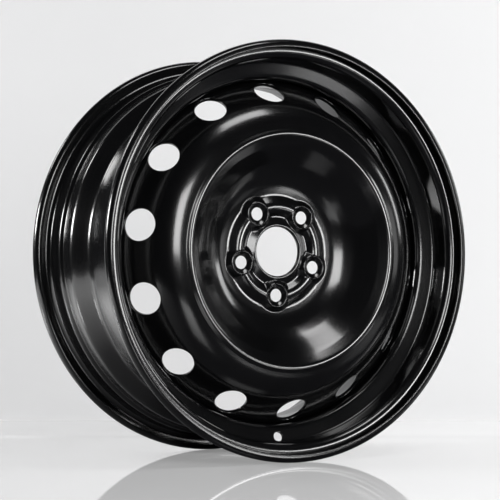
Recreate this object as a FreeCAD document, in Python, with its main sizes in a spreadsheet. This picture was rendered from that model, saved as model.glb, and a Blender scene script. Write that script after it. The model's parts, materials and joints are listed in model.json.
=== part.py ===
# Steel road wheel: a rolled drop-centre rim with a pressed disc welded inside its well.
# The wheel's axle line is Y, the outboard face looks along -Y, the origin is the wheel's centre.
import FreeCAD, Part
import math
import os
import Sketcher

V = FreeCAD.Vector
doc = FreeCAD.newDocument("steel_wheel")
sheet = doc.addObject("Spreadsheet::Sheet", "Dims")

# Driving dimensions in millimetres and degrees. Axial places are measured from the centre plane,
# bends at mid thickness, angles about the axle line from +X.
dimensions = {
    "seat_diameter": 436.6,  # rim diameter at the bead seats
    "inner_width": 177.8,  # between the flanges
    "rim_gauge": 2.6,  # thickness of the rolled strip
    "flange_height": 17.3,  # flange top above the bead seat diameter
    "flange_width": 12.7,  # axial width of one rolled flange
    "hook_flat": 0.04,  # straight run at the top of the flange
    "lip_run": 1.72,  # straight run of the flange's lip
    "heel_bend": 8.0,  # between flange and bead seat
    "seat_width": 20.5,  # outboard bead seat
    "seat_fall": 1.8,  # fall of a tapered bead seat
    "seat_bend": 5.0,  # end of the outboard seat
    "hump_rise": 1.4,  # safety hump above the end of the seat
    "hump_run": 3.2,  # end of the outboard seat to the top of its hump
    "hump_bend": 4.0,  # top of the outboard hump
    "shoulder_rise": 0.49,  # top of the well wall above the end of the seat
    "shoulder_run": 6.88,  # end of the outboard seat to the top of the well wall
    "well_depth": 20.3,  # well floor below the bead seat diameter
    "wall_run": 6.52,  # top to foot of the outboard well wall, along the axle
    "well_bend": 7.0,  # foot of the outboard well wall
    "rise_run": 19.5,  # foot to top of the inboard slope, along the axle
    "rise_bend": 12.0,  # foot of the inboard slope
    "ledge_width": 16.5,  # inboard ledge, along the axle
    "ledge_rise": 14.5,  # ledge above the well floor
    "ledge_climb": 0.9,  # climb along the ledge
    "ledge_bend": 9.0,  # top of the inboard slope
    "rear_seat_width": 19.5,  # inboard bead seat
    "rear_seat_bend": 6.0,  # end of the inboard seat
    "rear_hump_run": 4.84,  # end of the inboard seat to the top of its hump
    "rear_hump_bend": 3.5,  # top of the inboard hump
    "rear_shoulder_run": 3.56,  # top of the inboard hump to the ledge
    "valve_hole": 11.5,  # diameter
    "valve_rise": 12.8,  # valve hole centre above the well floor
    "valve_angle": 269.2,
    "offset": 48.0,  # hub mounting face outboard of the centre plane
    "disc_gauge": 4.4,  # thickness of the pressed sheet
    "centre_bore": 56.1,  # diameter
    "collar_rise": 3.6,  # bore collar in front of the hub face
    "collar_width": 1.6,  # flat top of the bore collar
    "collar_run": 4.35,  # top to foot of the collar, along the radius
    "collar_bend": 3.0,  # top and foot of the collar
    "bore_lead": 2.4,  # sloped lead at the front of the bore
    "ridge_rise": 7.4,  # pressed ridge in front of the hub face
    "collar_gap": 6.0,  # foot of the collar to the inner foot of the ridge
    "ridge_outward": 12.4,  # bolt circle to the outer foot of the ridge
    "ridge_bend": 9.0,  # crest of the ridge
    "foot_bend": 3.0,  # feet of the ridge
    "hub_outward": 18.5,  # bolt circle to the edge of the hub face
    "hub_bend": 11.6,  # between hub face and bowl
    "bowl_inset": 31.2,  # crest ring in to where the bowl steepens
    "bowl_depth": 14.3,  # bowl forward of the hub face where it steepens
    "bowl_bend": 75.0,
    "crest_inset": 62.0,  # skirt in to the crest ring
    "crest_height": 89.8,  # crest ring outboard of the centre plane
    "crest_bend": 3.4,
    "crown_inset": 36.2,  # skirt in to where the crown turns back
    "crown_fall": 5.4,  # crest ring back to where the crown turns
    "crown_bend": 48.0,
    "skirt_corner": 44.0,  # outboard end of the skirt
    "skirt_bend": 11.0,  # between vent slope and skirt
    "skirt_end": 16.0,  # inboard end of the skirt
    "vent_count": 14,
    "vent_hole": 35.4,  # diameter
    "vent_inset": 14.4,  # skirt in to the vent centres
    "vent_angle": 68.9,  # first vent
    "bolt_count": 5,
    "bolt_circle": 100.0,  # pitch circle diameter
    "bolt_hole": 14.8,  # diameter
    "bolt_angle": 51.2,  # first bolt hole
    "nut_mouth": 10.2,  # conical nut seat's radius at its mouth
    "nut_sink": 2.8,  # depth of the conical nut seat
    "boss_rise": 5.8,  # bolt boss in front of the hub face
    "boss_top": 13.4,  # radius of the boss at its top
    "boss_foot": 19.4,  # radius of the boss at the hub face
    "boss_sink": 0.12,  # overlap of boss and sheet
    "hollow_inset": 1.6,  # hollow behind a boss, within the boss
    "punch_length": 40.0,  # length of every hole's punch
    "weld_count": 6,
    "weld_arc": 34.0,  # arc of one weld bead
    "weld_leg": 4.4,  # leg of a weld bead
}
for row, (alias, value) in enumerate(dimensions.items(), start=1):
    sheet.set("A%d" % row, alias)
    sheet.set("B%d" % row, str(value))
    sheet.setAlias("B%d" % row, alias)
doc.recompute()


def named(formula):
    """The formula with each name led to the sheet, for binding."""
    words = []
    word = ""
    for letter in formula + " ":
        if letter.isalnum() or letter == "_":
            word += letter
            continue
        words.append(("Dims." + word if word in dimensions else word) + letter)
        word = ""
    return "".join(words).strip()


def size(formula):
    """The number that a formula in the sheet's names gives."""
    return float(sheet.evalExpression(named(formula)))


def rounded_path(name, corners):
    """A sketched path in the axial section: straight runs through the corners, each corner bent
    to its own radius. Corners are (axial, radial, bend) formulas; every one is bound to the sheet."""
    path = doc.addObject("Sketcher::SketchObject", name)
    path.Placement = FreeCAD.Placement(V(0, 0, 0), FreeCAD.Rotation(V(1, 1, 1), 120))
    at = [V(size(axial), size(radial), 0) for axial, radial, bend in corners]
    bends = [size(bend) for axial, radial, bend in corners]
    ends = []
    arcs = []
    for i, point in enumerate(at):
        if i == 0 or i == len(at) - 1:
            ends.append((point, point))
            arcs.append(None)
            continue
        before = (at[i - 1] - point).normalize()
        after = (at[i + 1] - point).normalize()
        half = before.getAngle(after) / 2
        reach = bends[i] / math.tan(half)
        start = point + before * reach
        finish = point + after * reach
        centre = point + (before + after).normalize() * (bends[i] / math.sin(half))
        turn = (point - at[i - 1]).cross(at[i + 1] - point).z
        ends.append((start, finish))
        arcs.append((centre, start, finish, turn > 0))
    lines = []
    for i in range(len(at) - 1):
        lines.append(path.addGeometry(Part.LineSegment(ends[i][1], ends[i + 1][0])))
    curved = {}
    for i, arc in enumerate(arcs):
        if arc is None:
            continue
        centre, start, finish, left = arc
        first, last = (start, finish) if left else (finish, start)
        a0 = math.atan2(first.y - centre.y, first.x - centre.x)
        a1 = math.atan2(last.y - centre.y, last.x - centre.x)
        circle = Part.Circle(centre, V(0, 0, 1), bends[i])
        curved[i] = path.addGeometry(Part.ArcOfCircle(circle, a0, a1)), left
    for i, point in enumerate(at):
        axial, radial, bend = corners[i]
        if i in curved:
            arc, left = curved[i]
            path.addConstraint(Sketcher.Constraint("Tangent", lines[i - 1], 2, arc, 1 if left else 2))
            path.addConstraint(Sketcher.Constraint("Tangent", lines[i], 1, arc, 2 if left else 1))
            bound = path.addConstraint(Sketcher.Constraint("Radius", arc, bends[i]))
            path.setExpression("Constraints[%d]" % bound, named(bend))
            mark = path.addGeometry(Part.Point(point), True)
            path.addConstraint(Sketcher.Constraint("PointOnObject", mark, 1, lines[i - 1]))
            path.addConstraint(Sketcher.Constraint("PointOnObject", mark, 1, lines[i]))
            spot = (mark, 1)
        else:
            spot = (lines[0], 1) if i == 0 else (lines[-1], 2)
        bound = path.addConstraint(Sketcher.Constraint("DistanceX", -1, 1, spot[0], spot[1], point.x))
        path.setExpression("Constraints[%d]" % bound, named(axial))
        bound = path.addConstraint(Sketcher.Constraint("DistanceY", -1, 1, spot[0], spot[1], point.y))
        path.setExpression("Constraints[%d]" % bound, named(radial))
    return path


def sheet_ring(name, path, gauge):
    """A sheet of even thickness about the path, turned once round the axle line."""
    section = doc.addObject("Part::Offset2D", name + "_section")
    section.Source = path
    section.Mode = "Pipe"
    section.Join = "Arc"
    section.Fill = True
    section.setExpression("Value", named(gauge + " / 2"))
    ring = doc.addObject("Part::Revolution", name)
    ring.Source = section
    ring.Axis = (0, 1, 0)
    ring.Base = (0, 0, 0)
    ring.Angle = 360
    ring.Solid = True
    return ring


def tool(kind, name, bindings, place=None):
    """A punch or die in its own frame, its sizes bound to the sheet."""
    item = doc.addObject("Part::" + kind, name)
    for prop, formula in bindings.items():
        item.setExpression(prop, named(formula))
    if place:
        item.Placement = place
    return item


def spoke_frame(radius, axial, angle, tilt):
    """A frame on the wheel at a radius, axial place and angle: its Z leans outward by the tilt from
    the outboard direction, and its X lies in the axial section."""
    turn = math.radians(angle)
    lean = math.radians(tilt)
    out = V(math.cos(turn), 0, math.sin(turn))
    normal = out * math.sin(lean) + V(0, -1, 0) * math.cos(lean)
    spot = out * radius + V(0, axial, 0)
    return FreeCAD.Placement(spot, FreeCAD.Rotation(out, V(0, 0, 0), normal, "ZXY"))


def ring_frames(radius, axial, tilt, count, first):
    """Frames evenly spaced about the axle line from the first angle."""
    number = int(round(size(count)))
    return [spoke_frame(radius, axial, size(first) + 360.0 * i / number, tilt) for i in range(number)]


def in_frames(item, frames):
    """Copies of a tool's shape, one carried into each frame."""
    copies = []
    for frame in frames:
        copy = item.Shape.copy()
        copy.Placement = frame * copy.Placement
        copies.append(copy)
    return copies


def pressed(name, blank, pads, punch_sets):
    """The blank with the pads joined to it and each set of punches then taken out, as one solid."""
    shape = blank.Shape.fuse(pads) if pads else blank.Shape
    for punches in punch_sets:
        shape = shape.cut(punches)
    piece = doc.addObject("Part::Feature", name)
    piece.Label = name
    piece.Shape = shape.Solids[0]
    return piece


# Rim: one strip, flange to flange, through bead seats, humps, ledge and well
wall = "(inner_width / 2 + rim_gauge / 2)"
tip = "(inner_width / 2 + flange_width - rim_gauge / 2)"
top = "seat_diameter / 2 + flange_height - rim_gauge / 2"
hook_bend = "(flange_width - rim_gauge - hook_flat) / 2"
lip = "%s - %s - lip_run" % (top, hook_bend)
seat = "seat_diameter / 2 - rim_gauge / 2"
well_floor = seat + " - well_depth"
seat_end = "(inner_width / 2 - seat_width)"
rear_seat_end = "(inner_width / 2 - rear_seat_width)"
hump = seat + " - seat_fall + hump_rise"
shoulder = seat + " - seat_fall + shoulder_rise"
well_front = "shoulder_run + wall_run - " + seat_end
ledge_end = rear_seat_end + " - rear_hump_run - rear_shoulder_run"
rim_path = rounded_path("rim_path", [
    ("-" + tip, lip, "0"),
    ("-" + tip, top, hook_bend),
    ("-" + wall, top, hook_bend),
    ("-" + wall, seat, "heel_bend"),
    ("-" + seat_end, seat + " - seat_fall", "seat_bend"),
    ("hump_run - " + seat_end, hump, "hump_bend"),
    ("shoulder_run - " + seat_end, shoulder, "hump_bend"),
    (well_front, well_floor, "well_bend"),
    (ledge_end + " - ledge_width - rise_run", well_floor, "rise_bend"),
    (ledge_end + " - ledge_width", well_floor + " + ledge_rise", "ledge_bend"),
    (ledge_end, well_floor + " + ledge_rise + ledge_climb", "hump_bend"),
    (rear_seat_end + " - rear_hump_run", hump, "rear_hump_bend"),
    (rear_seat_end, seat + " - seat_fall", "rear_seat_bend"),
    (wall, seat, "heel_bend"),
    (wall, top, hook_bend),
    (tip, top, hook_bend),
    (tip, lip, "0"),
])
rim_ring = sheet_ring("rim_ring", rim_path, "rim_gauge")

# Disc: one pressed sheet, bore collar to skirt
face = "-offset - disc_gauge / 2"
skirt = "seat_diameter / 2 - well_depth - rim_gauge - disc_gauge / 2"
crest = skirt + " - crest_inset"
crown = skirt + " - crown_inset"
collar_foot = "centre_bore / 2 + collar_width + collar_run"
disc_path = rounded_path("disc_path", [
    (face + " - collar_rise", "centre_bore / 2 - disc_gauge", "0"),
    (face + " - collar_rise", "centre_bore / 2 + collar_width", "collar_bend"),
    (face, collar_foot, "collar_bend"),
    (face, collar_foot + " + collar_gap", "foot_bend"),
    (face + " - ridge_rise", "bolt_circle / 2", "ridge_bend"),
    (face, "bolt_circle / 2 + ridge_outward", "foot_bend"),
    (face, "bolt_circle / 2 + hub_outward", "hub_bend"),
    (face + " - bowl_depth", crest + " - bowl_inset", "bowl_bend"),
    ("-crest_height", crest, "crest_bend"),
    ("crown_fall - crest_height", crown, "crown_bend"),
    ("-skirt_corner", skirt, "skirt_bend"),
    ("-skirt_end - disc_gauge / 2", skirt, "0"),
])
disc_ring = sheet_ring("disc_ring", disc_path, "disc_gauge")

# Punches and dies, each about its own origin with Z pointing outboard
centred = FreeCAD.Placement(V(0, 0, -size("punch_length / 2")), FreeCAD.Rotation())
sunk = FreeCAD.Placement(V(0, 0, -size("nut_sink")), FreeCAD.Rotation())
valve_punch = tool("Cylinder", "valve_punch", {"Radius": "valve_hole / 2", "Height": "punch_length"}, centred)
vent_punch = tool("Cylinder", "vent_punch", {"Radius": "vent_hole / 2", "Height": "punch_length"}, centred)
bore_punch = tool("Cylinder", "bore_punch", {"Radius": "centre_bore / 2", "Height": "punch_length"}, centred)
bolt_punch = tool("Cylinder", "bolt_punch", {"Radius": "bolt_hole / 2", "Height": "punch_length"}, centred)
nut_seat = tool("Cone", "nut_seat", {"Radius1": "bolt_hole / 2", "Radius2": "nut_mouth",
                                     "Height": "nut_sink"}, sunk)
bore_lead = tool("Cone", "bore_lead", {"Radius1": "centre_bore / 2", "Radius2": "centre_bore / 2 + 2 * bore_lead",
                                       "Height": "2 * bore_lead"})
flank = "(boss_foot - boss_top) / boss_rise"
boss = tool("Cone", "boss", {"Radius1": "boss_foot + boss_sink * " + flank, "Radius2": "boss_top",
                             "Height": "boss_rise + boss_sink"},
            FreeCAD.Placement(V(0, 0, -size("boss_sink")), FreeCAD.Rotation()))
hollow = tool("Cone", "boss_hollow", {"Radius1": "boss_foot - hollow_inset + disc_gauge * " + flank,
                                      "Radius2": "boss_top - hollow_inset", "Height": "boss_rise + disc_gauge"},
              FreeCAD.Placement(V(0, 0, -size("disc_gauge")), FreeCAD.Rotation()))
doc.recompute()

# Valve hole, square to the outboard wall of the well
wall_rise = size("well_depth - seat_fall + shoulder_rise")
valve_y = size(well_front) - size("wall_run * valve_rise") / wall_rise
wall_tilt = -math.degrees(math.atan2(size("wall_run"), wall_rise))
valve_frame = spoke_frame(size(well_floor + " + valve_rise"), valve_y, size("valve_angle"), wall_tilt)
rim = pressed("rim", rim_ring, [], [in_frames(valve_punch, [valve_frame])])

# Bolt bosses on the ridge, hollow behind, and vents square to the slope between crown and skirt
pitch = size("bolt_circle / 2")
rear_y = -size("offset")
front_y = -size("offset + disc_gauge")
rear_frames = ring_frames(pitch, rear_y, 0, "bolt_count", "bolt_angle")
front_frames = ring_frames(pitch, front_y, 0, "bolt_count", "bolt_angle")
boss_frames = ring_frames(pitch, front_y - size("boss_rise"), 0, "bolt_count", "bolt_angle")
lead_y = front_y - size("collar_rise - bore_lead")
slope_run = size("crown_inset")
slope_back = size("crest_height - crown_fall - skirt_corner")
slope_tilt = math.degrees(math.atan2(slope_back, slope_run))
vent_y = -size("skirt_corner") - slope_back * size("vent_inset") / slope_run
vent_frames = ring_frames(size(skirt + " - vent_inset"), vent_y, slope_tilt, "vent_count", "vent_angle")
disc = pressed("disc", disc_ring, in_frames(boss, front_frames), [
    in_frames(hollow, rear_frames),
    in_frames(bore_punch, [spoke_frame(0, front_y, 0, 0)]),
    in_frames(bore_lead, [spoke_frame(0, lead_y, 0, 0)]),
    in_frames(vent_punch, vent_frames),
    in_frames(nut_seat, boss_frames),
    in_frames(bolt_punch, boss_frames),
])

# Weld beads: fillets between the skirt's inboard edge and the underside of the well
beads = []
leg = size("weld_leg")
well = size("seat_diameter / 2 - well_depth - rim_gauge")
edge = -size("skirt_end")
weld_count = int(round(size("weld_count")))
for number in range(weld_count):
    corner = [V(0, edge, well), V(0, edge + leg, well), V(0, edge, well - leg), V(0, edge, well)]
    bead = Part.Face(Part.makePolygon(corner)).revolve(V(0, 0, 0), V(0, 1, 0), size("weld_arc"))
    bead.rotate(V(0, 0, 0), V(0, 1, 0), number * 360.0 / weld_count)
    beads.append(bead)
weld_beads = doc.addObject("Part::Feature", "weld_beads")
weld_beads.Label = "weld_beads"
weld_beads.Shape = Part.makeCompound(beads)
doc.recompute()

for item in doc.Objects:
    if "Invalid" in item.State or "Error" in item.State:
        raise RuntimeError("%s did not compute: %s" % (item.Name, item.getStatusString()))
os.makedirs("parts", exist_ok=True)
for node in (rim, disc, weld_beads):
    if node.Shape.isNull() or not node.Shape.isValid():
        raise RuntimeError(node.Label + " has no valid shape")
    node.Shape.exportStep("parts/%s.step" % node.Label)
    box = node.Shape.BoundBox
    print(node.Label, len(node.Shape.Solids), round(node.Shape.Volume), [round(v, 2) for v in (
        box.XMin, box.XMax, box.YMin, box.YMax, box.ZMin, box.ZMax)])
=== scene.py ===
# Black pressed-steel car wheel on a pale studio sweep. Lengths are millimetres until a mesh is made.
import json
import math

import bmesh
import bpy
import numpy as np
from mathutils import Matrix, Vector


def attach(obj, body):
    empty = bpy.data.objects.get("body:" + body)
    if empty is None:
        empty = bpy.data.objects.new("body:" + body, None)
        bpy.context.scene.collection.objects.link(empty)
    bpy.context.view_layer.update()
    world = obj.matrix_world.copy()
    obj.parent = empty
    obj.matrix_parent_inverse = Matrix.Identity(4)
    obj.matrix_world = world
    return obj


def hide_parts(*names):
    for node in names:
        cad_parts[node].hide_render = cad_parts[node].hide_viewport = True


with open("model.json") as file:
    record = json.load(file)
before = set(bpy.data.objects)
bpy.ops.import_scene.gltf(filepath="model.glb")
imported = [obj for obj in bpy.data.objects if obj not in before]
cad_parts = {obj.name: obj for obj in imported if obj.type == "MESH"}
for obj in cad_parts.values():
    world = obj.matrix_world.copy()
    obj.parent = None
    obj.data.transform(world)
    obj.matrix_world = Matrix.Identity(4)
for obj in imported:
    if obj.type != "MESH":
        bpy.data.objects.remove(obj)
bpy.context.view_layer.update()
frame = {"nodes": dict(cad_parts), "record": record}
mounts = {mount["name"]: mount for mount in frame["record"]["mounts"]}
MM = 0.001
FULL_TURN = 2 * math.pi
FRONT, BACK = -1, 1

# Rim strip: axial places count from the wheel's centre, radii from the axle line
RIM_GAUGE = 2.6
HALF_WIDTH = 88.9
FLANGE_TOP = 235.53
FLANGE_WIDTH = 12.7
FLANGE_BEND = 8.0
HOOK_SLACK = 0.02
TIP_SHORT = 0.4
SEAT_R = 218.3
SEAT_FALL = 1.8
HUMP_Y = 68.4
HUMP_STEP = 3.2
HUMP_RISE = 1.4
HUMP_FOOT_BEND = 5.0
HUMP_BEND = 4.0
# The well wall's top: hump steps inwards and share of the hump's rise
WALL_TOP_STEPS = 2.15
WALL_TOP_RISE = 0.35
WALL_TOP_BEND = 4.0
WELL_DEPTH = 20.3
WELL_FRONT = 55.0
WELL_FRONT_BEND = 7.0
WELL_REAR = 25.0
WELL_REAR_BEND = 12.0
# The shelf behind the well: axial place, rise over the well's floor and bend of each corner
REAR_SHELF = [(44.5, 14.5, 9.0), (61.0, 15.4, 4.0)]
REAR_HUMP_STEPS = 1.2
REAR_HUMP_BEND = 3.5
REAR_FOOT_SHIFT = 1.0
REAR_FOOT_BEND = 6.0
VALVE_R = 209.5
VALVE_ANGLE = math.radians(269.2)
VALVE_HOLE = mounts["valve_hole"]["dims"]["r_mm"]
VALVE_ROUND = 0.35
VALVE_MARGIN = 7.6
# The valve's wall: path length that clears the flange, and the drop below the seat where the wall starts
FLANGE_RUN = 40.0
SEAT_DROP = 2.2

# Pressed disc
DISC_GAUGE = 4.4
FACE_Y = mounts["hub_face"]["pos_m"][1] / MM
BORE_R = mounts["centre_bore"]["dims"]["r_mm"]
BORE_ROUND_BACK = 0.4
BORE_ROUND_FRONT = 2.4
COLLAR_RISE = 3.6
COLLAR_FLAT = 1.6
COLLAR_BEND = 3.0
# Inner and outer radius of the flat trough inside the ridge and of the flat ring outside it
TROUGH = (38.4, 41.0)
TROUGH_BEND = 2.4
RIDGE_RISE = 7.4
RIDGE_BEND = 8.5
RING = (62.8, 65.8)
RIDGE_FOOT_BEND = 2.2
BOWL_FOOT_BEND = 6.0
# The bowl: height in front of the hub's flats, radius and bend of each corner
BOWL = [(1.7, 75.7, 40.0), (7.0, 87.5, 60.0), (14.6, 99.3, 60.0), (32.3, 119.6, 14.0)]
# The crest ring and the crown: axial place, radius and bend of each corner
CREST = [(-90.4, 131.0, 4.6), (-88.1, 135.8, 6.0)]
CROWN = (-84.4, 157.0, 50.0)
SKIRT_R = SEAT_R - WELL_DEPTH - RIM_GAUGE - DISC_GAUGE / 2
SKIRT_START = 44.0
SKIRT_BEND = 11.0
SKIRT_END = 16.0

# Bolt bosses, nut seats and bolt holes
BOLT_R = mounts["bolts"]["dims"]["pcd_mm"] / 2
BOLT_HOLE = mounts["bolts"]["dims"]["hole_r_mm"]
BOLT_COUNT = mounts["bolts"]["dims"]["count"]
BOLT_ANGLE = math.radians(51.2)
BOSS_RISE = 5.8
BOSS_TOP = 13.4
BOSS_FOOT = 19.4
BOSS_ROUND = 0.9
HOLLOW_INSET = 1.6
NUT_SEAT = 12.3
NUT_DEPTH = 2.8
LIP_REACH = 0.45
LIP_TOP = 0.18
LIP_ROUND = 0.5
LIP_FOOT = 0.55
THROAT_SPREAD = 0.25
THROAT_BLEND = 0.2
BACK_ROUND = 0.5
BACK_CORNER = 0.15

# Vents
VENT_COUNT = 14
VENT_R = 178.8
VENT_HOLE = 17.7
VENT_ROUND = 1.0
VENT_ANGLE = math.radians(68.9)
VENT_MARGINS = (21.5, 20.5)

# Fineness of the meshes
COLUMNS = 210
PATH_STEP = 0.05
ARC_POINTS = 8
SHORT_BEND = 8
TURNING_WINDOW = 21
TANGENT_STEP = 0.12
TANGENT_TURN = 0.0006
EDGE_FLAT = 0.001
MERGE_DISTANCE = 0.00002
RIM_FRONT_ROWS = 64
RIM_REAR_ROWS = 84
VALVE_ROWS = 13
VALVE_COLUMNS = 8
VALVE_ROUND_ROWS = 4
COLLAR_ROWS = 12
BOWL_ROWS = 62
SKIRT_ROWS = 20
BACK_SHARE = 0.6
HUB_ROWS = 43
HUB_BEND_SHARE = 0.4
# The radii that the hub's own grids cover, and those between which its profile has one height per radius
HUB_BAND = (30.9, 74.0)
HUB_PROFILE = (28.0, 90.0)
BOSS_COLUMNS = 22
BOSS_RINGS = 26
BOSS_EASE = 1.3
VENT_ROWS = 17
VENT_BEND_SHARE = 0.3
VENT_RINGS = 9


def bent_path(corners):
    """A path in the axial section: straight runs through the corners, each corner replaced by the arc
    of its bend radius that touches both runs. Returns arc length, axial place and radius as arrays."""
    points = np.array([corner[:2] for corner in corners], float)
    pieces = [points[:1]]
    for i in range(1, len(points) - 1):
        before = points[i - 1] - points[i]
        after = points[i + 1] - points[i]
        before /= np.linalg.norm(before)
        after /= np.linalg.norm(after)
        half = math.acos(np.clip(before @ after, -1, 1)) / 2
        bend = corners[i][2]
        middle = before + after
        centre = points[i] + middle / np.linalg.norm(middle) * bend / math.sin(half)
        start = points[i] + before * bend / math.tan(half) - centre
        finish = points[i] + after * bend / math.tan(half) - centre
        sweep = math.pi - 2 * half
        count = ARC_POINTS + int(sweep * max(bend, SHORT_BEND) * ARC_POINTS)
        share = np.linspace(0, 1, count)[:, None]
        arc = start * np.sin((1 - share) * sweep) + finish * np.sin(share * sweep)
        pieces.append(centre + arc / math.sin(sweep))
    pieces.append(points[-1:])
    line = np.concatenate(pieces)
    length = np.concatenate([[0], np.cumsum(np.linalg.norm(np.diff(line, axis=0), axis=1))])
    fine = np.linspace(0, length[-1], int(length[-1] / PATH_STEP))
    return fine, np.interp(fine, length, line[:, 0]), np.interp(fine, length, line[:, 1])


def spread(path, first, last, count, bend_share=0.75):
    """Places along the path from first to last: evenly spaced in a mix of length and turning, so that
    bends get more rows than straight runs."""
    s, y, r = path
    heading = np.unwrap(np.arctan2(np.gradient(y, s), np.gradient(r, s)))
    kernel = np.ones(TURNING_WINDOW) / TURNING_WINDOW
    turning = np.convolve(np.abs(np.gradient(heading)), kernel, "same")
    inside = (s >= first) & (s <= last)
    turn = np.cumsum(np.where(inside, turning, 0))
    run = np.cumsum(np.where(inside, 1.0, 0))
    measure = bend_share * turn / max(turn[-1], 1e-9) + (1 - bend_share) * run / run[-1]
    places = np.interp(np.linspace(0, 1, count), measure[inside], s[inside])
    places[0], places[-1] = first, last
    return places


def path_at_radius(path, radius, after=0.0):
    """The first place on the path, past a given one, that lies at the radius."""
    s, y, r = path
    ahead = np.nonzero((s >= after) & ((r - radius) * (np.roll(r, 1) - radius) <= 0) & (s > s[0]))[0]
    return s[ahead[0]]


def side_curve(path, offset):
    """The path moved along its own normal by the offset, as (radius, axial) arrays."""
    s, y, r = path
    dy, dr = np.gradient(y, s), np.gradient(r, s)
    length = np.hypot(dy, dr)
    return r - offset * dy / length, y + offset * dr / length


def over(x, soft):
    """The positive part of x, rounded: 0 below -soft, x above soft, (x + soft)^2 / (4 soft) between."""
    return np.where(x > soft, x, np.clip(x + soft, 0, None) ** 2 / (4 * soft))


def border(rows, angles):
    """A cell's border as one loop of (row, angle): first row, last angle, last row and first angle."""
    row = np.concatenate([np.full(len(angles) - 1, rows[0]), rows[:-1],
                          np.full(len(angles) - 1, rows[-1]), rows[:0:-1]])
    angle = np.concatenate([angles[:-1], np.full(len(rows) - 1, angles[-1]),
                            angles[:0:-1], np.full(len(rows) - 1, angles[0])])
    return row, angle


def turned(out, beside, angle):
    """A place given outwards and sideways from the axle line, turned to the angle: (x, z)."""
    return (out * math.cos(angle) - beside * math.sin(angle),
            out * math.sin(angle) + beside * math.cos(angle))


def round_hole(radius, gauge, rounding, rows=6):
    """A punched hole's section, from one face to the other, as (radius, offset): a quarter round, the
    wall and a quarter round, both rounds of the same size."""
    turn = np.linspace(0, math.pi / 2, rows)
    half = gauge / 2
    first = np.stack([radius + rounding * (1 - np.sin(turn)), half - rounding * (1 - np.cos(turn))], 1)
    last = np.stack([radius + rounding * (1 - np.cos(turn)), rounding - half - rounding * np.sin(turn)], 1)
    return np.concatenate([first, last])


def placed(name, data):
    """A new object that holds the data, linked at the origin."""
    thing = bpy.data.objects.new(name, data)
    bpy.context.collection.objects.link(thing)
    return thing


class Sheet:
    """A sheet of even thickness about a path turned round the axle line: middle + offset * normal."""

    def __init__(self, path, gauge):
        self.path = path
        self.gauge = gauge
        self.patches = []

    def middle(self, s, angle):
        """Middle of the sheet: the path's (axial, radius) turned to the angle."""
        y = np.interp(s, self.path[0], self.path[1])
        r = np.interp(s, self.path[0], self.path[2])
        return np.stack([r * np.cos(angle), y, r * np.sin(angle)], -1)

    def point(self, s, angle, offset):
        """Middle plus offset times the unit cross product of the two tangents, taken by differences."""
        s, angle, offset = np.broadcast_arrays(s, angle, offset)
        low = np.clip(s - TANGENT_STEP, self.path[0][0], self.path[0][-1])
        high = np.clip(s + TANGENT_STEP, self.path[0][0], self.path[0][-1])
        along = self.middle(high, angle) - self.middle(low, angle)
        around = self.middle(s, angle + TANGENT_TURN) - self.middle(s, angle - TANGENT_TURN)
        normal = np.cross(around, along)
        normal /= np.linalg.norm(normal, axis=-1, keepdims=True)
        return self.middle(s, angle) + offset[..., None] * normal

    def skin(self, rows, angles, side):
        """One face of the sheet: a grid of path places by angles at half the gauge to that side."""
        s, angle = np.meshgrid(rows, angles, indexing="ij")
        self.patches.append(self.point(s, angle, np.full(s.shape, side * self.gauge / 2)))

    def edge(self, s_end, direction, upper, lower, angles, rows=9):
        """The sheet's own edge: a quarter round of the upper size, a flat and a quarter round of the lower
        size, from the face at plus half the gauge to the face at minus half."""
        half = self.gauge / 2
        turn = np.linspace(0, math.pi / 2, rows)
        inward = np.concatenate([upper * (1 - np.sin(turn)), lower * (1 - np.cos(turn))])
        offset = np.concatenate([half - upper + upper * np.cos(turn), lower - half - lower * np.sin(turn)])
        s, angle = np.meshgrid(s_end - direction * inward, angles, indexing="ij")
        self.patches.append(self.point(s, angle, np.broadcast_to(offset[:, None], s.shape)))

    def holed_cell(self, rows, angles, s_hole, a_hole, r_hole, hole, rings=11, ease=1.6):
        """A cell of the sheet with a round hole: rings that blend from the cell's border to the hole,
        carried down the hole's own section of (radius, offset) and out again on the other face."""
        loop_s, loop_a = border(rows, angles)
        u = loop_s - s_hole
        v = (loop_a - a_hole) * r_hole
        reach = np.hypot(u, v)
        blend = np.linspace(1, 0, rings)[:, None] ** ease
        half = self.gauge / 2
        inwards = blend * reach + (1 - blend) * hole[0, 0]
        outwards = blend[::-1] * reach + (1 - blend[::-1]) * hole[-1, 0]
        wall = (len(hole) - 2, len(u))
        radius = np.concatenate([inwards, np.broadcast_to(hole[1:-1, :1], wall), outwards])
        offset = np.concatenate([np.full(inwards.shape, half), np.broadcast_to(hole[1:-1, 1:], wall),
                                 np.full(outwards.shape, -half)])
        grid = self.point(s_hole + radius * u / reach, a_hole + radius * v / reach / r_hole, offset)
        self.patches.append(np.concatenate([grid, grid[:, :1]], 1))

    def build(self, name, material):
        """Joins the patches into one mesh: border points that coincide are merged, faces turned outwards."""
        verts, faces, base = [], [], 0
        for grid in self.patches:
            rows, columns = grid.shape[:2]
            index = base + np.arange(rows * columns).reshape(rows, columns)
            quads = np.stack([index[:-1, :-1], index[1:, :-1], index[1:, 1:], index[:-1, 1:]], -1)
            verts.append(grid.reshape(-1, 3))
            faces.append(quads.reshape(-1, 4))
            base += rows * columns
        mesh = bpy.data.meshes.new(name)
        mesh.from_pydata((np.concatenate(verts) * MM).tolist(), [], np.concatenate(faces).tolist())
        work = bmesh.new()
        work.from_mesh(mesh)
        bmesh.ops.remove_doubles(work, verts=work.verts, dist=MERGE_DISTANCE)
        bmesh.ops.recalc_face_normals(work, faces=work.faces)
        work.to_mesh(mesh)
        work.free()
        mesh.shade_smooth()
        mesh.materials.append(material)
        return placed(name, mesh)


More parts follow.
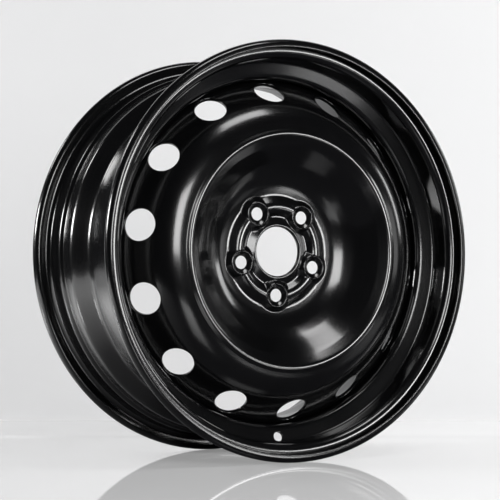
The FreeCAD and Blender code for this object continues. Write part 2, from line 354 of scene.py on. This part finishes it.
class PressedDisc(Sheet):
    """The disc's sheet, whose hub with its bosses is a front and a back height over a place (x, z)."""

    def hub_face(self, x, z, side):
        """Front or back of the hub pressing over (x, z): the turned profile's height h in front of the hub's
        flats, raised to the bosses. A boss is rise - over(rise - slope (foot - d)) at the distance d from
        its bolt, and the height becomes h + over(boss - h)."""
        radius = np.hypot(x, z)
        curve_r, curve_y = side_curve(self.path, side * self.gauge / 2)
        hub = (curve_r > HUB_PROFILE[0]) & (curve_r < HUB_PROFILE[1])
        level = FACE_Y if side == BACK else FACE_Y - self.gauge
        height = level - np.interp(radius, curve_r[hub], curve_y[hub])
        pitch = FULL_TURN / BOLT_COUNT
        local = (np.arctan2(z, x) - BOLT_ANGLE + pitch / 2) % pitch - pitch / 2
        distance = np.hypot(radius * np.cos(local) - BOLT_R, radius * np.sin(local))
        foot = BOSS_FOOT - (HOLLOW_INSET if side == BACK else 0)
        flank = BOSS_RISE / (BOSS_FOOT - BOSS_TOP) * (foot - distance)
        boss = BOSS_RISE - over(BOSS_RISE - flank, BOSS_ROUND)
        return level - height - over(boss - height, BOSS_ROUND)

    def hub_gap(self, radii, angles, side):
        """The hub between two bolts: a grid of radii by angles on one face."""
        radius, angle = np.meshgrid(radii, angles, indexing="ij")
        x, z = radius * np.cos(angle), radius * np.sin(angle)
        self.patches.append(np.stack([x, self.hub_face(x, z, side), z], -1))

    def hub_cell(self, radii, angles, bolt_angle):
        """The hub round one bolt: rings that blend from the cell's border to the nut seat's mouth on the
        front, the conical seat and the hole's wall, and rings out again to the border on the back."""
        layers = {}
        for side, mouth, rings in ((FRONT, NUT_SEAT + LIP_REACH, BOSS_RINGS),
                                   (BACK, BOLT_HOLE + BACK_ROUND, BOSS_RINGS // 2)):
            border_r, border_a = border(radii[side], angles)
            u = border_r * np.cos(border_a - bolt_angle) - BOLT_R
            v = border_r * np.sin(border_a - bolt_angle)
            reach = np.hypot(u, v)
            if side == FRONT:
                outward, sideways = u / reach, v / reach
            blend = np.linspace(1, 0, rings)[:, None] ** BOSS_EASE
            radius = blend * reach + (1 - blend) * mouth
            x, z = turned(BOLT_R + radius * u / reach, radius * v / reach, bolt_angle)
            layers[side] = np.stack([x, self.hub_face(x, z, side), z], -1)
        seat = [(NUT_SEAT, LIP_TOP), (NUT_SEAT - LIP_ROUND, LIP_FOOT),
                (BOLT_HOLE + THROAT_SPREAD, NUT_DEPTH - THROAT_BLEND), (BOLT_HOLE, NUT_DEPTH + THROAT_BLEND),
                (BOLT_HOLE, self.gauge - BACK_ROUND), (BOLT_HOLE + BACK_CORNER, self.gauge - BACK_CORNER)]
        radius, depth = np.array(seat).T[:, :, None]
        x, z = turned(BOLT_R + radius * outward, radius * sideways, bolt_angle)
        top = FACE_Y - self.gauge - BOSS_RISE
        wall = np.stack([x, np.broadcast_to(top + depth, x.shape), z], -1)
        grid = np.concatenate([layers[FRONT], wall, layers[BACK][::-1]])
        self.patches.append(np.concatenate([grid, grid[:, :1]], 1))


def rim_strip():
    """The rim: one strip from flange to flange, with a cell for the valve hole in the well's front wall."""
    half_wall = HALF_WIDTH + RIM_GAUGE / 2
    hook_top = FLANGE_TOP - RIM_GAUGE / 2
    hook_tip = HALF_WIDTH + FLANGE_WIDTH - RIM_GAUGE / 2
    hook_bend = FLANGE_WIDTH / 2 - RIM_GAUGE / 2 - HOOK_SLACK
    tip_end = FLANGE_TOP - FLANGE_WIDTH / 2 - RIM_GAUGE - TIP_SHORT
    seat = SEAT_R - RIM_GAUGE / 2
    seat_foot = seat - SEAT_FALL
    well_floor = seat - WELL_DEPTH
    path = bent_path([
        (-hook_tip, tip_end, 0),
        (-hook_tip, hook_top, hook_bend),
        (-half_wall, hook_top, hook_bend),
        (-half_wall, seat, FLANGE_BEND),
        (-HUMP_Y, seat_foot, HUMP_FOOT_BEND),
        (-(HUMP_Y - HUMP_STEP), seat_foot + HUMP_RISE, HUMP_BEND),
        (-(HUMP_Y - HUMP_STEP * WALL_TOP_STEPS), seat_foot + HUMP_RISE * WALL_TOP_RISE, WALL_TOP_BEND),
        (-WELL_FRONT, well_floor, WELL_FRONT_BEND),
        (WELL_REAR, well_floor, WELL_REAR_BEND),
        *[(place, well_floor + rise, bend) for place, rise, bend in REAR_SHELF],
        (HUMP_Y - HUMP_STEP * REAR_HUMP_STEPS, seat_foot + HUMP_RISE, REAR_HUMP_BEND),
        (HUMP_Y + REAR_FOOT_SHIFT, seat_foot, REAR_FOOT_BEND),
        (half_wall, seat, FLANGE_BEND),
        (half_wall, hook_top, hook_bend),
        (hook_tip, hook_top, hook_bend),
        (hook_tip, tip_end, 0),
    ])
    sheet = Sheet(path, RIM_GAUGE)
    end = path[0][-1]
    tip_round = RIM_GAUGE / 2 - EDGE_FLAT
    angles = (np.linspace(0, FULL_TURN, COLUMNS + 1) + VALVE_ANGLE
              - VALVE_COLUMNS / 2 * FULL_TURN / COLUMNS)
    s_seat = path_at_radius(path, SEAT_R - SEAT_DROP, FLANGE_RUN)
    s_valve = path_at_radius(path, VALVE_R, s_seat)
    band = (s_valve - VALVE_MARGIN, s_valve + VALVE_MARGIN)
    band_rows = np.linspace(*band, VALVE_ROWS)
    for side in (1, -1):
        sheet.skin(spread(path, tip_round, band[0], RIM_FRONT_ROWS), angles, side)
        sheet.skin(spread(path, band[1], end - tip_round, RIM_REAR_ROWS), angles, side)
        sheet.skin(band_rows, angles[VALVE_COLUMNS:], side)
    sheet.holed_cell(band_rows, angles[:VALVE_COLUMNS + 1], s_valve, VALVE_ANGLE, VALVE_R,
                     round_hole(VALVE_HOLE, RIM_GAUGE, VALVE_ROUND, VALVE_ROUND_ROWS))
    sheet.edge(0.0, -1, tip_round, tip_round, angles)
    sheet.edge(end, 1, tip_round, tip_round, angles)
    return sheet


def pressed_disc():
    """The disc: one sheet from the bore collar over the ridge, bowl, crest and crown to the skirt, with
    cells for the bolts and the vents."""
    flat = FACE_Y - DISC_GAUGE / 2
    path = bent_path([
        (flat - COLLAR_RISE, BORE_R, 0),
        (flat - COLLAR_RISE, BORE_R + COLLAR_FLAT, COLLAR_BEND),
        (flat, TROUGH[0], TROUGH_BEND),
        (flat, TROUGH[1], TROUGH_BEND),
        (flat - RIDGE_RISE, BOLT_R, RIDGE_BEND),
        (flat, RING[0], RIDGE_FOOT_BEND),
        (flat, RING[1], BOWL_FOOT_BEND),
        *[(flat - rise, radius, bend) for rise, radius, bend in BOWL],
        *CREST,
        CROWN,
        (-SKIRT_START, SKIRT_R, SKIRT_BEND),
        (-SKIRT_END, SKIRT_R, 0),
    ])
    sheet = PressedDisc(path, DISC_GAUGE)
    end = path[0][-1]
    skirt_round = DISC_GAUGE / 2 - EDGE_FLAT
    bore_round = {FRONT: BORE_ROUND_FRONT, BACK: BORE_ROUND_BACK}
    vent_columns = COLUMNS // VENT_COUNT
    bolt_columns = COLUMNS // BOLT_COUNT
    vent_start = VENT_ANGLE - FULL_TURN / VENT_COUNT / 2
    vent_angles = vent_start + np.arange(COLUMNS + 1) * FULL_TURN / COLUMNS
    hub_start = BOLT_ANGLE - BOSS_COLUMNS / 2 * FULL_TURN / COLUMNS
    hub_angles = hub_start + np.arange(COLUMNS + 1) * FULL_TURN / COLUMNS
    s_vent = path_at_radius(path, VENT_R)
    vent_band = (s_vent - VENT_MARGINS[0], s_vent + VENT_MARGINS[1])
    vent_rows = spread(path, *vent_band, VENT_ROWS, VENT_BEND_SHARE)
    hub_band = [path_at_radius(path, radius) for radius in HUB_BAND]
    hub_rows = spread(path, *hub_band, HUB_ROWS, HUB_BEND_SHARE)
    hub_radii = {side: np.interp(hub_rows, path[0], side_curve(path, side * DISC_GAUGE / 2)[0])
                 for side in (FRONT, BACK)}
    for side, share in ((FRONT, 1.0), (BACK, BACK_SHARE)):
        collar_rows = spread(path, bore_round[side], hub_band[0], int(COLLAR_ROWS * share))
        bowl_rows = spread(path, hub_band[1], vent_band[0], int(BOWL_ROWS * share))
        skirt_rows = spread(path, vent_band[1], end - skirt_round, int(SKIRT_ROWS * share))
        sheet.skin(collar_rows, hub_angles, side)
        sheet.skin(bowl_rows, hub_angles, side)
        sheet.skin(skirt_rows, vent_angles, side)
        for bolt in range(BOLT_COUNT):
            gap = slice(bolt * bolt_columns + BOSS_COLUMNS, (bolt + 1) * bolt_columns + 1)
            sheet.hub_gap(hub_radii[side], hub_angles[gap], side)
    for bolt in range(BOLT_COUNT):
        cell = hub_angles[bolt * bolt_columns:bolt * bolt_columns + BOSS_COLUMNS + 1]
        sheet.hub_cell(hub_radii, cell, BOLT_ANGLE + bolt * FULL_TURN / BOLT_COUNT)
    for vent in range(VENT_COUNT):
        cell = vent_angles[vent * vent_columns:(vent + 1) * vent_columns + 1]
        sheet.holed_cell(vent_rows, cell, s_vent, VENT_ANGLE + vent * FULL_TURN / VENT_COUNT, VENT_R,
                         round_hole(VENT_HOLE, DISC_GAUGE, VENT_ROUND), VENT_RINGS)
    sheet.edge(0.0, -1, bore_round[BACK], bore_round[FRONT], hub_angles)
    sheet.edge(end, 1, skirt_round, skirt_round, vent_angles)
    return sheet


class Wire:
    """One socket of a node tree; arithmetic on it adds Math nodes."""

    def __init__(self, tree, socket):
        self.tree = tree
        self.socket = socket

    def calculate(self, operation, first, second):
        node = self.tree.nodes.new("ShaderNodeMath")
        node.operation = operation
        for place, value in zip(node.inputs, (first, second)):
            if isinstance(value, Wire):
                self.tree.links.new(value.socket, place)
            else:
                place.default_value = value
        return Wire(self.tree, node.outputs[0])

    def __add__(self, other):
        return self.calculate("ADD", self, other)

    def __radd__(self, other):
        return self.calculate("ADD", other, self)

    def __sub__(self, other):
        return self.calculate("SUBTRACT", self, other)

    def __rsub__(self, other):
        return self.calculate("SUBTRACT", other, self)

    def __mul__(self, other):
        return self.calculate("MULTIPLY", self, other)

    def __rmul__(self, other):
        return self.calculate("MULTIPLY", other, self)


class Finish:
    """A node tree being wired up; add() makes any node from its type, socket values and settings."""

    def __init__(self, owner):
        owner.use_nodes = True
        self.tree = owner.node_tree
        self.tree.nodes.clear()

    def add(self, kind, sockets=None, settings=None, out=0):
        node = self.tree.nodes.new(kind)
        for name, value in (settings or {}).items():
            setattr(node, name, value)
        for name, value in (sockets or {}).items():
            if isinstance(value, Wire):
                self.tree.links.new(value.socket, node.inputs[name])
            else:
                node.inputs[name].default_value = value
        return Wire(self.tree, node.outputs[out]) if len(node.outputs) else None


# Outputs, by number, of the nodes that have several
OBJECT_PLACE = 3
CAMERA_RAY = 0
GLOSSY_RAY = 3
MIXED_COLOUR = 2
DOT_VALUE = 1


def mixed(finish, share, first, second, clamped=True):
    """A colour between two: first * (1 - share) + second * share."""
    return finish.add("ShaderNodeMix", {"Factor": share, "A": first, "B": second},
                      {"data_type": "RGBA", "clamp_factor": clamped}, MIXED_COLOUR)


def ramp(finish, value, start, stop, first=0.0, last=1.0):
    """A straight ramp of a value, held at its ends: first at start, last at stop."""
    return finish.add("ShaderNodeMapRange", {"Value": value, "From Min": start, "From Max": stop,
                                             "To Min": first, "To Max": last})


def along(finish, place, direction):
    """How far a place lies along a direction: their dot product."""
    return finish.add("ShaderNodeVectorMath", {0: place, 1: direction},
                      {"operation": "DOT_PRODUCT"}, DOT_VALUE)


def black_paint():
    """Baked black enamel: a near-black base whose gloss varies in soft clouds, with a fine grain."""
    material = bpy.data.materials.new("black_paint")
    paint = Finish(material)
    place = paint.add("ShaderNodeTexCoord", out=OBJECT_PLACE)
    clouds = paint.add("ShaderNodeTexNoise", {"Vector": place, "Scale": 22.0, "Detail": 3.0})
    grain = paint.add("ShaderNodeTexNoise", {"Vector": place, "Scale": 900.0, "Detail": 2.0})
    colour = mixed(paint, clouds, (0.0015, 0.0015, 0.0017, 1), (0.0030, 0.0030, 0.0033, 1))
    bump = paint.add("ShaderNodeBump", {"Height": grain, "Strength": 0.035, "Distance": 0.0006})
    shader = paint.add("ShaderNodeBsdfPrincipled", {
        "Base Color": colour, "Roughness": 0.12 + 0.05 * clouds + 0.05 * grain, "Normal": bump,
        "IOR": 1.5, "Coat Weight": 0.2, "Coat Roughness": 0.08})
    paint.add("ShaderNodeOutputMaterial", {"Surface": shader})
    return material


# Camera: pixels, the sensor's millimetres, angles and metres
IMAGE = 500.0
FOCAL = 1577.0
SENSOR = 36.0
AZIMUTH, ELEVATION, DISTANCE = math.radians(-30.73), math.radians(-1.87), 1.839
AIM_YAW, AIM_PITCH = math.radians(0.11), math.radians(-0.10)

# Sweep, in metres: places beyond the wheel as the camera sees it, heights over the floor
FLOOR_Z = -FLANGE_TOP * MM
SWEEP_NEAR = -0.75
SWEEP_FAR = 0.26
SWEEP_BEND = 0.8
SWEEP_BEND_ROWS = 24
SWEEP_TOP = 2.2
SWEEP_HALF = 1.3
PAPER_TONES = ((0.61, 0.61, 0.615, 1), (0.64, 0.64, 0.645, 1))
# Painted shade: the dim floor colour that mirrored rays see
MIRRORED_FLOOR_SHADE = (0.10, 0.10, 0.11, 1)
BLACK, WHITE = (0, 0, 0, 1), (1, 1, 1, 1)
# Places to the left of the wheel between which the sweep's tones change: where the painted floor shade that
# mirrored rays see fades out, where their painted far left glow comes in, and across which the backdrop's
# painted glow brightens
LEFT_FLOOR = (0.05, 0.35)
FAR_LEFT_FLOOR = (0.25, 0.6)
BACKDROP_ACROSS = (0.5, -0.5)
# Heights between which the floor turns into the backdrop
FLOOR_HEIGHTS = (FLOOR_Z + 0.001, FLOOR_Z + 0.03)
# Painted light: glow at the backdrop's two sides, brighter to the right, the share of it that mirrored rays
# see as a painted reflection, and their far left floor's glow, a painted reflection brighter than white
BACKDROP_PAINTED_GLOW = (0.10, 0.35)
MIRRORED_SHARE = 0.55
# Painted reflection: the far left floor's glow for mirrored rays, brighter than white
FAR_LEFT_PAINTED_GLOW = 2.0
BACKDROP_ROUGHNESS = 0.7
FLOOR_GLOSS = 0.67

# Lamps
LAMP_DISTANCE = 2.1
LAMPS = [
    # name, azimuth, elevation, width and height as seen from the wheel in degrees, brightness
    ("front_box", -11, 11, 15, 22, 12.5),
    ("crest_box", 25, 3, 13, 11, 22.0),
    ("side_box", 54, 4, 15, 13, 1.6),
    ("top_box", 16, 60, 22, 13, 9.0),
    ("right_box", 77, 14, 12, 16, 7.0),
    ("far_box", 111, 14, 18, 18, 7.0),
    ("left_box", -111, 14, 20, 11, 38.0),
    ("high_box", -136, 36, 12, 12, 12.0),
]


def view_back(azimuth, elevation):
    """The direction from the wheel's centre to a viewer at that azimuth and elevation."""
    return Vector((math.sin(azimuth) * math.cos(elevation), -math.cos(azimuth) * math.cos(elevation),
                   math.sin(elevation)))


def place_camera():
    """The camera at its distance from the wheel's centre, aimed a little off it."""
    camera = placed("camera", bpy.data.cameras.new("camera"))
    camera.data.sensor_width = SENSOR
    camera.data.lens = SENSOR * FOCAL / IMAGE
    back = view_back(AZIMUTH + AIM_YAW, ELEVATION + AIM_PITCH)
    right = Vector((math.cos(AZIMUTH + AIM_YAW), math.sin(AZIMUTH + AIM_YAW), 0))
    pose = Matrix((right, back.cross(right), back)).transposed().to_4x4()
    pose.translation = view_back(AZIMUTH, ELEVATION) * DISTANCE
    camera.matrix_world = pose
    bpy.context.scene.camera = camera


def pale_paper(left):
    """Pale studio paper, matt as a backdrop and glossy on the floor. The camera sees painted light that
    brightens the backdrop to the right. Mirrored rays see part of that as a painted reflection, and a floor
    dimmed by painted shade that turns bright at the far left, where it glows as a painted reflection."""
    material = bpy.data.materials.new("pale_sweep")
    paper = Finish(material)
    place = paper.add("ShaderNodeTexCoord", out=OBJECT_PLACE)
    seen = paper.add("ShaderNodeLightPath", out=CAMERA_RAY)
    mirrored = paper.add("ShaderNodeLightPath", out=GLOSSY_RAY)
    leftness = along(paper, place, tuple(left))
    floor = ramp(paper, along(paper, place, (0, 0, 1)), *FLOOR_HEIGHTS, 1.0, 0.0)
    # Painted light: the backdrop's glow, brighter to the right
    painted_backdrop_glow = ramp(paper, leftness, *BACKDROP_ACROSS, *BACKDROP_PAINTED_GLOW)
    far_left = ramp(paper, leftness, *FAR_LEFT_FLOOR)
    mottle = paper.add("ShaderNodeTexNoise", {"Vector": place, "Scale": 3.0, "Detail": 2.0})
    # Painted shade: mirrored rays see the floor dim, except towards the left
    painted_shade_share = mirrored * (1 - ramp(paper, leftness, *LEFT_FLOOR)) * floor
    tone = mixed(paper, painted_shade_share, mixed(paper, mottle, *PAPER_TONES), MIRRORED_FLOOR_SHADE)
    # Painted reflection: mirrored rays see part of the backdrop's painted glow and the far left floor
    # glowing
    painted_reflection_glow = MIRRORED_SHARE * painted_backdrop_glow * (1 - floor) + FAR_LEFT_PAINTED_GLOW * far_left * floor
    # Painted light for the camera and painted reflections for mirrored rays, added as emission
    glow = mixed(paper, seen * painted_backdrop_glow + mirrored * painted_reflection_glow, BLACK, WHITE, clamped=False)
    surface = paper.add("ShaderNodeBsdfPrincipled", {
        "Base Color": tone, "Roughness": BACKDROP_ROUGHNESS - FLOOR_GLOSS * floor, "IOR": 1.6,
        "Emission Color": glow, "Emission Strength": 1.0})
    paper.add("ShaderNodeOutputMaterial", {"Surface": surface})
    return material


def studio_sweep():
    """A sheet of paper under and behind the wheel: a level run, a quarter round and an upright run, carried
    straight across the view."""
    ahead = -view_back(AZIMUTH, 0)
    left = Vector((-ahead.y, ahead.x, 0))
    turn = np.linspace(0, math.pi / 2, SWEEP_BEND_ROWS)
    bend = np.stack([SWEEP_FAR + SWEEP_BEND * np.sin(turn), SWEEP_BEND * (1 - np.cos(turn))], 1)
    line = np.concatenate([[(SWEEP_NEAR, 0)], bend, [(SWEEP_FAR + SWEEP_BEND, SWEEP_TOP)]])
    breadth = np.array([-SWEEP_HALF, SWEEP_HALF])
    points = (line[:, None, :1] * np.array(ahead) + breadth[None, :, None] * np.array(left)
              + line[:, None, 1:] * np.array((0, 0, 1)) + np.array((0, 0, FLOOR_Z)))
    row = np.arange(len(line) - 1)[:, None] * 2
    mesh = bpy.data.meshes.new("sweep")
    mesh.from_pydata(points.reshape(-1, 3).tolist(), [], (row + np.array([0, 2, 3, 1])).tolist())
    mesh.shade_smooth()
    mesh.materials.append(pale_paper(left))
    return placed("sweep", mesh)


def place_lamps():
    """Soft boxes round the wheel, each facing its centre, as large and bright as seen from there."""
    for name, azimuth, elevation, width, height, brightness in LAMPS:
        lamp = bpy.data.lights.new(name, "AREA")
        lamp.shape = "RECTANGLE"
        lamp.size = 2 * LAMP_DISTANCE * math.tan(math.radians(width / 2))
        lamp.size_y = 2 * LAMP_DISTANCE * math.tan(math.radians(height / 2))
        lamp.energy = math.pi * lamp.size * lamp.size_y * brightness
        holder = placed(name, lamp)
        towards = view_back(math.radians(azimuth), math.radians(elevation))
        holder.location = towards * LAMP_DISTANCE
        holder.rotation_euler = towards.to_track_quat("Z", "Y").to_euler()


def studio_air():
    """The world: faint cool light on the wheel, and pale where the camera looks past the sweep."""
    world = bpy.data.worlds.new("studio")
    bpy.context.scene.world = world
    air = Finish(world)
    dim = air.add("ShaderNodeBackground", {"Color": (0.9, 0.93, 1.0, 1), "Strength": 0.03})
    pale = air.add("ShaderNodeBackground", {"Color": (0.9, 0.9, 0.9, 1), "Strength": 0.85})
    seen = air.add("ShaderNodeLightPath", out=CAMERA_RAY)
    both = air.add("ShaderNodeMixShader", {0: seen, 1: dim, 2: pale})
    air.add("ShaderNodeOutputWorld", {"Surface": both})


black = black_paint()
rim = rim_strip().build("rim_strip", black)
disc = pressed_disc().build("pressed_disc", black)
for piece, node in ((rim, "rim"), (disc, "disc")):
    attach(piece, "root")
    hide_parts(node)
frame["nodes"]["weld_beads"].data.materials.clear()
frame["nodes"]["weld_beads"].data.materials.append(black)

place_camera()
sweep = studio_sweep()
place_lamps()
studio_air()
bpy.context.scene.view_settings.view_transform = "Standard"
